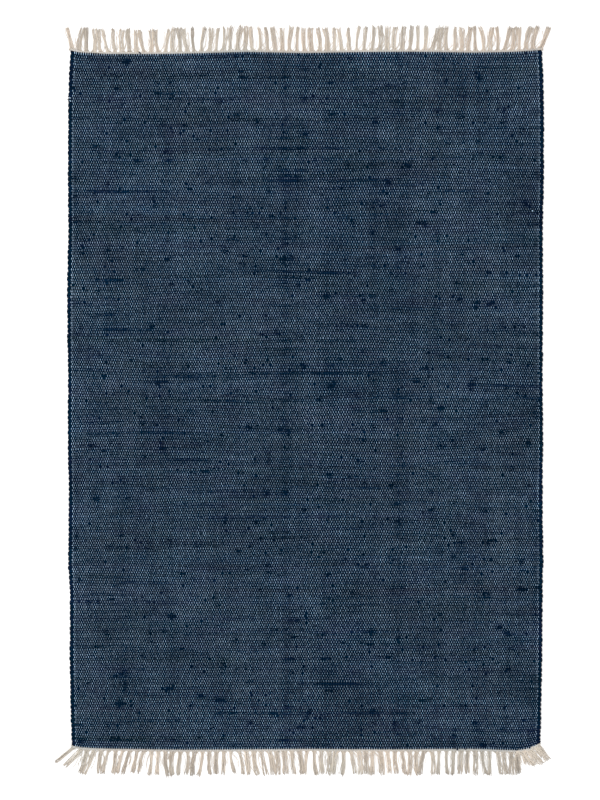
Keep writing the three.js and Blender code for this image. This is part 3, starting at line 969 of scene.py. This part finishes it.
def weft_bake_map(row_count, place, lift, first_row, last_row):
    """A map of the weft on which no two faces overlap. The near half of the rug fills the left
    half of the map and the far half the right one, with the cap below or above it."""
    half = (row_count - 1) // 2
    columns = len(place)
    index = np.arange(row_count - 1)
    is_far = index >= half
    floor = 0.02 + 0.96 * (index - half * is_far) / (row_count - half)
    step = 0.96 / (row_count - half)
    u = (0.02 + 0.46 * np.arange(columns + 1) / columns) + 0.5 * is_far[:, None]
    low = np.stack(np.broadcast_arrays(u, floor[:, None]), axis=-1)
    cap_u = 0.02 + 0.46 * place
    cap_v = 0.006 * lift
    near_caps = [np.stack([cap_u[c], cap_v[c] + 0.01], axis=-1) for c in first_row]
    cap_u = cap_u + 0.5
    last_row = [c % columns for c in last_row]
    far_caps = [np.stack([cap_u[c], cap_v[c] + 0.99], axis=-1) for c in last_row]
    caps = [c.reshape(-1, 2) for c in near_caps + far_caps]
    return np.concatenate([cells_between(low, low + np.array([0, step])), *caps])


def lay_warp(cloth, colours):
    """The warp: each end is a three-sided thread with a ring at the middle of every pick. It
    passes over the rag where its own number and the pick's add up to an even one. Elsewhere it
    lies below, narrower, and painted darker as painted shade under the rag. A tick that the rag
    hides is painted darker too, as painted shade."""
    weave = Weave(cloth)
    rng = np.random.default_rng(cloth.seed + 2)
    ends = np.arange(cloth.warp_ends)[:, None]
    picks = np.arange(cloth.picks)
    row = np.concatenate([[-0.5], picks + 0.5, [cloth.picks + 0.5]])
    own = weave.warp_places[:, None]
    place = own + weave.warp_drift(row, own)
    shape = place.shape
    shake_across, shake_along = WARP_SHAKE
    y = weave.along(row, place) + shake_along * rng.standard_normal(shape)
    x = weave.across(place, y) + shake_across * rng.standard_normal(shape)
    over = np.zeros(shape, bool)
    over[:, 1:-1] = (ends + picks) % 2 == 0
    over[:, [0, -1]] = over[:, [1, -2]]
    inside = np.clip(row - 0.5, 0, cloth.picks - 1)
    crest = between(weave.crest, inside, place)
    fat = between(weave.fat, inside, place)
    chance = between(weave.tick_tone, inside, place)
    band = weave.band_at(inside, place)
    hidden = HIDDEN * (fat + between(weave.bare, inside, place))
    hidden[:, 1:-1] += weave.slub_shade((cloth.warp_ends, cloth.picks))
    rise = cloth.tick_rise * (
        1 + TICK_RISE["chance"] * chance + TICK_RISE["band"] * band - hidden
    )
    rise = rise + RISE_SHAKE * rng.standard_normal(shape)
    rise = np.where(rng.random(shape) < SUNK["share"], SUNK["rise"], rise)
    top = np.where(over, crest + rise, BELOW["top"])
    foot = crest + FOOT_RISE + np.minimum(rise - LOW_TICK, 0)
    foot = np.where(over, foot, BELOW["foot"])
    at_ends = over[:, [0, -1]]
    top[:, [0, -1]] = np.where(at_ends, TOOTH["top"], TUCKED["top"])
    foot[:, [0, -1]] = np.where(at_ends, TOOTH["foot"], TUCKED["foot"])
    edge = 1 + OUTERMOST * (np.minimum(ends, ends[::-1]) < 2)
    half = cloth.tick_width / 2 * edge * (1 + 0.1 * rng.standard_normal(shape))
    half = np.where(over, half, BELOW["width"] * half)
    half[:, [0, -1]] *= np.where(at_ends, TOOTH["width"], 1)
    points = np.stack(
        [
            np.stack([x - half, x, x + half], axis=-1),
            np.stack([y, y, y], axis=-1),
            np.stack([foot, top, foot], axis=-1),
        ],
        axis=-1,
    )
    tone = edge + TICK_TONE["each"] * rng.standard_normal(shape)
    tone = tone + TICK_TONE["chance"] * chance + TICK_TONE["band"] * band
    # Painted shade: the more the rag hides a tick, the darker it is drawn
    tone = tone - TICK_TONE["hidden"] * np.minimum(hidden, 1)
    # Painted shade: the warp under the rag is drawn darker
    tone = np.where(over, tone, BELOW["tone"] * tone)
    tone[:, [0, -1]] = TOOTH["tone"]
    undyed = np.zeros(shape)
    undyed[:, [0, -1]] = 1
    bounds = np.linspace(0, cloth.warp_ends, WARP_PIECES + 1).astype(int)
    for number in range(WARP_PIECES):
        part = slice(*bounds[number : number + 2])
        values = {"thread_tone": tone[part], "undyed": undyed[part]}
        name = f"warp_{number + 1}"
        grey = look_of("grey_warp", colours)
        make_threads(name, points[part], grey, CLOTH_LENGTH, shelves=1, **values)


def lump_rings(rng, x, y, z, length, width):
    """The rings of flattened lumps, long across the rug: each an ellipsoid with a random waist,
    turned a little about its own middle."""
    count = len(x)
    height = rng.uniform(*LUMP_HEIGHTS, count) * MM
    tilt = LUMP_SHAKE["tilt"] * rng.standard_normal(count)
    share = np.linspace(-LUMP_END, LUMP_END, LUMP_RINGS)
    uneven = 1 + LUMP_SHAKE["waist"] * rng.standard_normal((count, LUMP_RINGS))
    waist = np.sqrt(1 - share**2) * uneven
    turn = 2 * np.pi * np.arange(LUMP_SIDES) / LUMP_SIDES
    lean = LUMP_SHAKE["lean"] * rng.standard_normal((count, LUMP_RINGS))
    # The ring goes round by the right-hand rule about +X: from +Y to +Z.
    along = length[:, None, None] * share[:, None] + np.zeros(LUMP_SIDES)
    aside = width[:, None, None] * waist[:, :, None] * np.cos(turn) + lean[:, :, None]
    up = height[:, None, None] * waist[:, :, None] * np.sin(turn)
    cosine = np.cos(tilt)[:, None, None]
    sine = np.sin(tilt)[:, None, None]
    offset = [along * cosine - aside * sine, along * sine + aside * cosine, up]
    return np.stack([x, y, z], axis=-1)[:, None, None] + np.stack(offset, axis=-1)


def grown(measure, size):
    """A slub's measure: the smallest slub's plus its size times the rest."""
    least, more = measure
    return (least + more * size) * MM


def raise_slubs(cloth, colours):
    """Slubs, knobs and rag ends: clumps of a few lumps along the pick, and the knobs by the
    headings and the selvedges. Three loops of pale thread stand up at the selvedges."""
    weave = Weave(cloth)
    rng = np.random.default_rng(cloth.seed + 3)
    clump = np.arange(cloth.slubs * CLUMP) // CLUMP
    row = weave.slub_picks[clump] + 0.5
    place = weave.slub_places[clump]
    size = weave.slub_sizes[clump]
    y = weave.along(row, place) + SLUB_SHAKE * rng.standard_normal(len(clump))
    x = weave.across(place, y) + grown(SLUB_SPREAD, size) * rng.standard_normal(len(clump))
    z = between(weave.crest, row - 0.5, place) - SLUB_SINK
    few = np.ones(len(KNOBS))
    x = np.append(x, [knob["x"] * MM for knob in KNOBS])
    y = np.append(y, [knob["y"] * MM for knob in KNOBS])
    z = np.append(z, KNOB_HEIGHT * few)
    size = np.append(size, KNOB_SIZE * few)
    length = grown(SLUB_LENGTH, size) * rng.uniform(*LUMP_SIZES, len(x))
    width = grown(SLUB_WIDTH, size) * rng.uniform(*LUMP_SIZES, len(x))
    points = lump_rings(rng, x, y, z, length, width)
    strip = np.append(weave.rag_strip(np.floor(row).astype(int), place), np.arange(len(KNOBS)))
    tone = 0.4 * weave.tones[strip, None] + SLUB_TONE
    hue = 0.7 * weave.hues[strip, None]
    # The slubs take painted shade through their groove value
    piece = make_tubes("rag_slubs", points, rag_tone=tone, rag_hue=hue, groove=SLUB_SHADE)
    finish_piece(piece, look_of("woven_rag", colours), "navy_rag")
    few = np.ones(len(LOOPS))
    x = np.array([loop["x"] * MM for loop in LOOPS])
    y = np.array([loop["y"] * MM for loop in LOOPS])
    points = lump_rings(rng, x, y, LOOP_HEIGHT * few, LOOP_LENGTH * few, LOOP_WIDTH * few)
    grey = look_of("grey_warp", colours)
    make_threads("loose_loops", points, grey, LOOP_YARN, thread_tone=LOOP_TONE)


def twine_heading(end, fringe, colours):
    """A heading: two rows of twined yarn, each two strands winding round each other, so that a
    strand is a helix about the heading's line. The rows wind opposite ways."""
    side, node = ENDS[end]
    rng = np.random.default_rng(fringe.seed + side)
    across, inner, _ = heading_edges(node)
    rings = fringe.twists * TWIST_RINGS + 1
    share = np.linspace(0, 1, rings)
    x = across[0] + (across[-1] - across[0]) * share
    line = np.interp(x, across, inner)
    centres = []
    for row in HEADING_ROWS:
        for start in (0, np.pi):
            turn = row["way"] * 2 * np.pi * fringe.twists * share + start
            slow = STRAND_SHAKE["slow"] * np.sin(37 * share + start)
            loose = 1 + slow + STRAND_SHAKE["fast"] * rng.standard_normal(rings)
            out = line + row["out"] + STRAND_SWING * loose * np.cos(turn)
            height = HEADING_MIDDLE + STRAND_LIFT * loose * np.sin(turn)
            centres.append(np.stack([x, side * out, height], axis=-1))
    centres = np.array(centres)
    shape = centres.shape[:2]
    radii = STRAND_RADIUS * (1 + STRAND_SHAKE["radius"] * rng.standard_normal(shape))
    points = thread_rings(centres, radii, HEADING_SIDES)
    tone = 1 + STRAND_SHAKE["tone"] * rng.standard_normal(shape)
    cotton = look_of("heading_cotton", colours)
    make_threads(f"{end}_heading", points, cotton, CLOTH_WIDTH, thread_tone=tone)


def on_paths(paths, share):
    """Points at some shares of each path: the cubic through the path's four points."""
    steps = np.arange(4) / 3
    basis = [
        np.prod([(share - steps[j]) / (steps[i] - steps[j]) for j in range(4) if j != i], axis=0)
        for i in range(4)
    ]
    return np.einsum("i...t,...ic->...tc", np.array(basis), paths)


def comb_fringe(end, fringe, colours):
    """A fringe: threads that leave the heading in locks, wind loosely round the lock's path and
    part at its tip. A thread's distance from the path is the lock's half width there times the
    cosine of an angle that grows along it, and its height follows the sine."""
    side, node = ENDS[end]
    rng = np.random.default_rng(fringe.seed + 10 * side + 20)
    paths = lock_paths(node, side)
    locks = len(paths)
    each = (locks, fringe.threads, 1)
    length = 1 + LOCK_SHAKE["length"] * rng.standard_normal(each)
    share = np.linspace(0, 1, LOCK_RINGS) * length
    line = on_paths(np.repeat(paths[:, None], fringe.threads, axis=1), share)
    even = np.arange(fringe.threads) / fringe.threads
    start = 2 * np.pi * (even + rng.random((locks, 1)))[:, :, None]
    winding = rng.uniform(-WINDING, WINDING, (locks, 1, 1))
    angle = start + winding * share + LOCK_SHAKE["angle"] * rng.standard_normal(each)
    wide = fringe.root_spread + (fringe.tip_spread - fringe.root_spread) * share**1.5
    wide = wide * rng.uniform(*LOCK_WIDTHS, (locks, 1, 1))
    wide = wide + GATHER * np.clip(1 - share / GATHERED, 0, 1)
    loose = rng.standard_normal(each) * THREAD_LOOSE * share**2
    bow = rng.standard_normal(each) * THREAD_BOW * np.sin(2 * np.pi * share)
    aside = wide * np.cos(angle) + loose + bow
    thick = fringe.thread_radius * (1 + LOCK_SHAKE["radius"] * rng.standard_normal(each))
    radii = thick * np.interp(np.linspace(0, 1, LOCK_RINGS), *TAPER)
    pile, sink = PILE
    height = radii + (pile - sink * share) * (1 + np.sin(angle)) / 2 + THREAD_CLEAR
    ahead = np.gradient(line, axis=2)
    ahead /= np.linalg.norm(ahead, axis=3, keepdims=True)
    x = line[..., 0] - aside * ahead[..., 1]
    y = line[..., 1] + aside * ahead[..., 0]
    centres = np.stack([x, y, height], axis=-1).reshape(-1, LOCK_RINGS, 3)
    points = thread_rings(centres, radii.reshape(-1, LOCK_RINGS), THREAD_SIDES)
    tone = LOCK_TONE["middle"] + LOCK_TONE["lock"] * rng.standard_normal((locks, 1, 1))
    tone = tone + LOCK_SHAKE["tone"] * rng.standard_normal(each) + LOCK_TONE["tip"] * share
    tone = tone.reshape(-1, LOCK_RINGS)
    cotton = look_of("fringe_cotton", colours)
    make_threads(f"{end}_locks", points, cotton, LOCK_LENGTH, node, shelves=8, thread_tone=tone)


def scatter_strays(end, fringe, colours):
    """Thin loose threads between the locks: each starts at one lock's root, ends near its own or
    the next lock's tip, and bows out to one side on the way."""
    side, node = ENDS[end]
    rng = np.random.default_rng(fringe.seed + 30 * side + 60)
    paths = lock_paths(node, side)
    matted = FANS[end]
    count = fringe.strays + matted
    own = rng.integers(0, len(paths) - 1, count)
    own[:matted] = len(paths) - 2 - np.arange(matted) % 3
    mix = rng.uniform(*STRAY_LEAN, (count, 1, 1))
    mixed = paths[own] * (1 - mix) + paths[own + 1] * mix
    mixed[:, 0, 0] = paths[own, 0, 0] + rng.uniform(-STRAY_SHIFT, STRAY_SHIFT, count)
    share = np.linspace(0, 1, LOCK_RINGS) * rng.uniform(*STRAY_REACH, (count, 1))
    line = on_paths(mixed, share)
    bow = rng.standard_normal((count, 1)) * STRAY_BOW
    curl = rng.standard_normal((count, 1)) * STRAY_CURL
    line[..., 0] += bow * np.sin(np.pi * share) + curl * np.sin(3 * np.pi * share)
    radii = rng.uniform(*STRAY_RADII, (count, 1)) * MM
    radii[:matted] = fringe.thread_radius
    radii = np.broadcast_to(radii, share.shape)
    height = radii + THREAD_CLEAR + STRAY_ROOT * (1 - share).clip(0, 1) ** 3
    centres = np.concatenate([line, height[..., None]], axis=-1)
    points = thread_rings(centres, radii, THREAD_SIDES)
    cotton = look_of("fringe_cotton", colours)
    make_threads(f"{end}_strays", points, cotton, LOCK_LENGTH, thread_tone=STRAY_TONE)


# The stage


def set_stage(colours):
    """A pale floor, an even white sky, a broad lamp high up on the left, a weaker one on the
    right, and the camera straight above the rug."""
    scene = bpy.context.scene
    corners = FLOOR_REACH * np.array([[-1, -1], [1, -1], [1, 1], [-1, 1]])
    points = np.column_stack([corners, np.full(4, -FLOOR_DROP)])
    floor = make_piece("floor", points, np.arange(4)[None])
    material, tree, shader, place = new_material("pale_floor")
    grain = spread(tree, noise(tree, place, FLOOR_GRAIN), 0.985, 1.0)
    tree.links.new(tinted(tree, (*colours.floor, 1), grain), shader.inputs["Base Color"])
    shader.inputs["Roughness"].default_value = 1
    shader.inputs["Specular IOR Level"].default_value = 0
    floor.data.materials.append(material)

    world = bpy.data.worlds.new("white_sky")
    world.use_nodes = True
    sky = world.node_tree.nodes["Background"].inputs
    sky["Color"].default_value = (1, 1, 1, 1)
    sky["Strength"].default_value = SKY
    scene.world = world

    for row in LAMPS:
        lamp = bpy.data.lights.new(row["name"], "AREA")
        lamp.energy = row["power"]
        lamp.size = row["size"]
        holder = bpy.data.objects.new(row["name"], lamp)
        holder.location = row["place"]
        x, y, z = row["place"]
        turn = math.atan2(-y, -x) - math.pi / 2
        holder.rotation_euler = (math.atan2(math.hypot(x, y), z), 0, turn)
        scene.collection.objects.link(holder)

    lens = bpy.data.cameras.new("camera")
    lens.lens = LENS
    lens.sensor_fit = "VERTICAL"
    lens.sensor_height = SENSOR
    lens.clip_end = 100
    camera = bpy.data.objects.new("camera", lens)
    camera.location = (CAMERA_SHIFT, 0, CAMERA_DISTANCE + 5 * MM)
    scene.collection.objects.link(camera)
    scene.camera = camera
    scene.view_settings.view_transform = "Standard"
    scene.view_settings.look = "None"


# Operators


class RAGRUG_OT_weft(bpy.types.Operator):
    """Weave the rag from one end to the other"""

    bl_idname = "rag_rug.weft"
    bl_label = "Weave the rag"

    def execute(self, context):
        weave_weft(context.scene.rag_rug_cloth, context.scene.rag_rug_colours)
        return {"FINISHED"}


class RAGRUG_OT_warp(bpy.types.Operator):
    """Lay the cotton warp over and under the rag"""

    bl_idname = "rag_rug.warp"
    bl_label = "Lay the warp"

    def execute(self, context):
        lay_warp(context.scene.rag_rug_cloth, context.scene.rag_rug_colours)
        return {"FINISHED"}


class RAGRUG_OT_slubs(bpy.types.Operator):
    """Raise the slubs and knots of the rag"""

    bl_idname = "rag_rug.slubs"
    bl_label = "Raise the slubs"

    def execute(self, context):
        raise_slubs(context.scene.rag_rug_cloth, context.scene.rag_rug_colours)
        return {"FINISHED"}


class RAGRUG_OT_headings(bpy.types.Operator):
    """Twine the heading at each end"""

    bl_idname = "rag_rug.headings"
    bl_label = "Twine the headings"

    def execute(self, context):
        settings = context.scene.rag_rug_fringe, context.scene.rag_rug_colours
        for end in ENDS:
            twine_heading(end, *settings)
        return {"FINISHED"}


class RAGRUG_OT_fringes(bpy.types.Operator):
    """Comb the fringe at each end"""

    bl_idname = "rag_rug.fringes"
    bl_label = "Comb the fringes"

    def execute(self, context):
        settings = context.scene.rag_rug_fringe, context.scene.rag_rug_colours
        for end in ENDS:
            comb_fringe(end, *settings)
            scatter_strays(end, *settings)
        return {"FINISHED"}


class RAGRUG_OT_stage(bpy.types.Operator):
    """Set the floor, the light and the camera"""

    bl_idname = "rag_rug.stage"
    bl_label = "Set the stage"

    def execute(self, context):
        set_stage(context.scene.rag_rug_colours)
        return {"FINISHED"}


class RAGRUG_PT_panel(bpy.types.Panel):
    bl_idname = "RAGRUG_PT_panel"
    bl_label = "Rag rug"
    bl_space_type = "VIEW_3D"
    bl_region_type = "UI"
    bl_category = "Rag rug"

    def draw(self, context):
        for name in SETTINGS:
            settings = getattr(context.scene, name)
            box = self.layout.box()
            for prop in settings.bl_rna.properties:
                if prop.identifier in type(settings).__annotations__:
                    box.prop(settings, prop.identifier)
        for operator in OPERATORS:
            self.layout.operator(operator.bl_idname)


SETTINGS = {
    "rag_rug_cloth": RagRugCloth,
    "rag_rug_fringe": RagRugFringe,
    "rag_rug_colours": RagRugColours,
}
OPERATORS = (
    RAGRUG_OT_weft,
    RAGRUG_OT_warp,
    RAGRUG_OT_slubs,
    RAGRUG_OT_headings,
    RAGRUG_OT_fringes,
    RAGRUG_OT_stage,
)
CLASSES = (*SETTINGS.values(), *OPERATORS, RAGRUG_PT_panel)


def register():
    for made in CLASSES:
        bpy.utils.register_class(made)
    for name, settings in SETTINGS.items():
        setattr(bpy.types.Scene, name, PointerProperty(type=settings))


def unregister():
    for name in SETTINGS:
        delattr(bpy.types.Scene, name)
    for made in reversed(CLASSES):
        bpy.utils.unregister_class(made)


def main():
    """Makes the whole rug and sets the stage."""
    register()
    bpy.ops.rag_rug.weft()
    bpy.ops.rag_rug.warp()
    bpy.ops.rag_rug.slubs()
    bpy.ops.rag_rug.headings()
    bpy.ops.rag_rug.fringes()
    bpy.ops.rag_rug.stage()


if __name__ == "__main__":
    main()
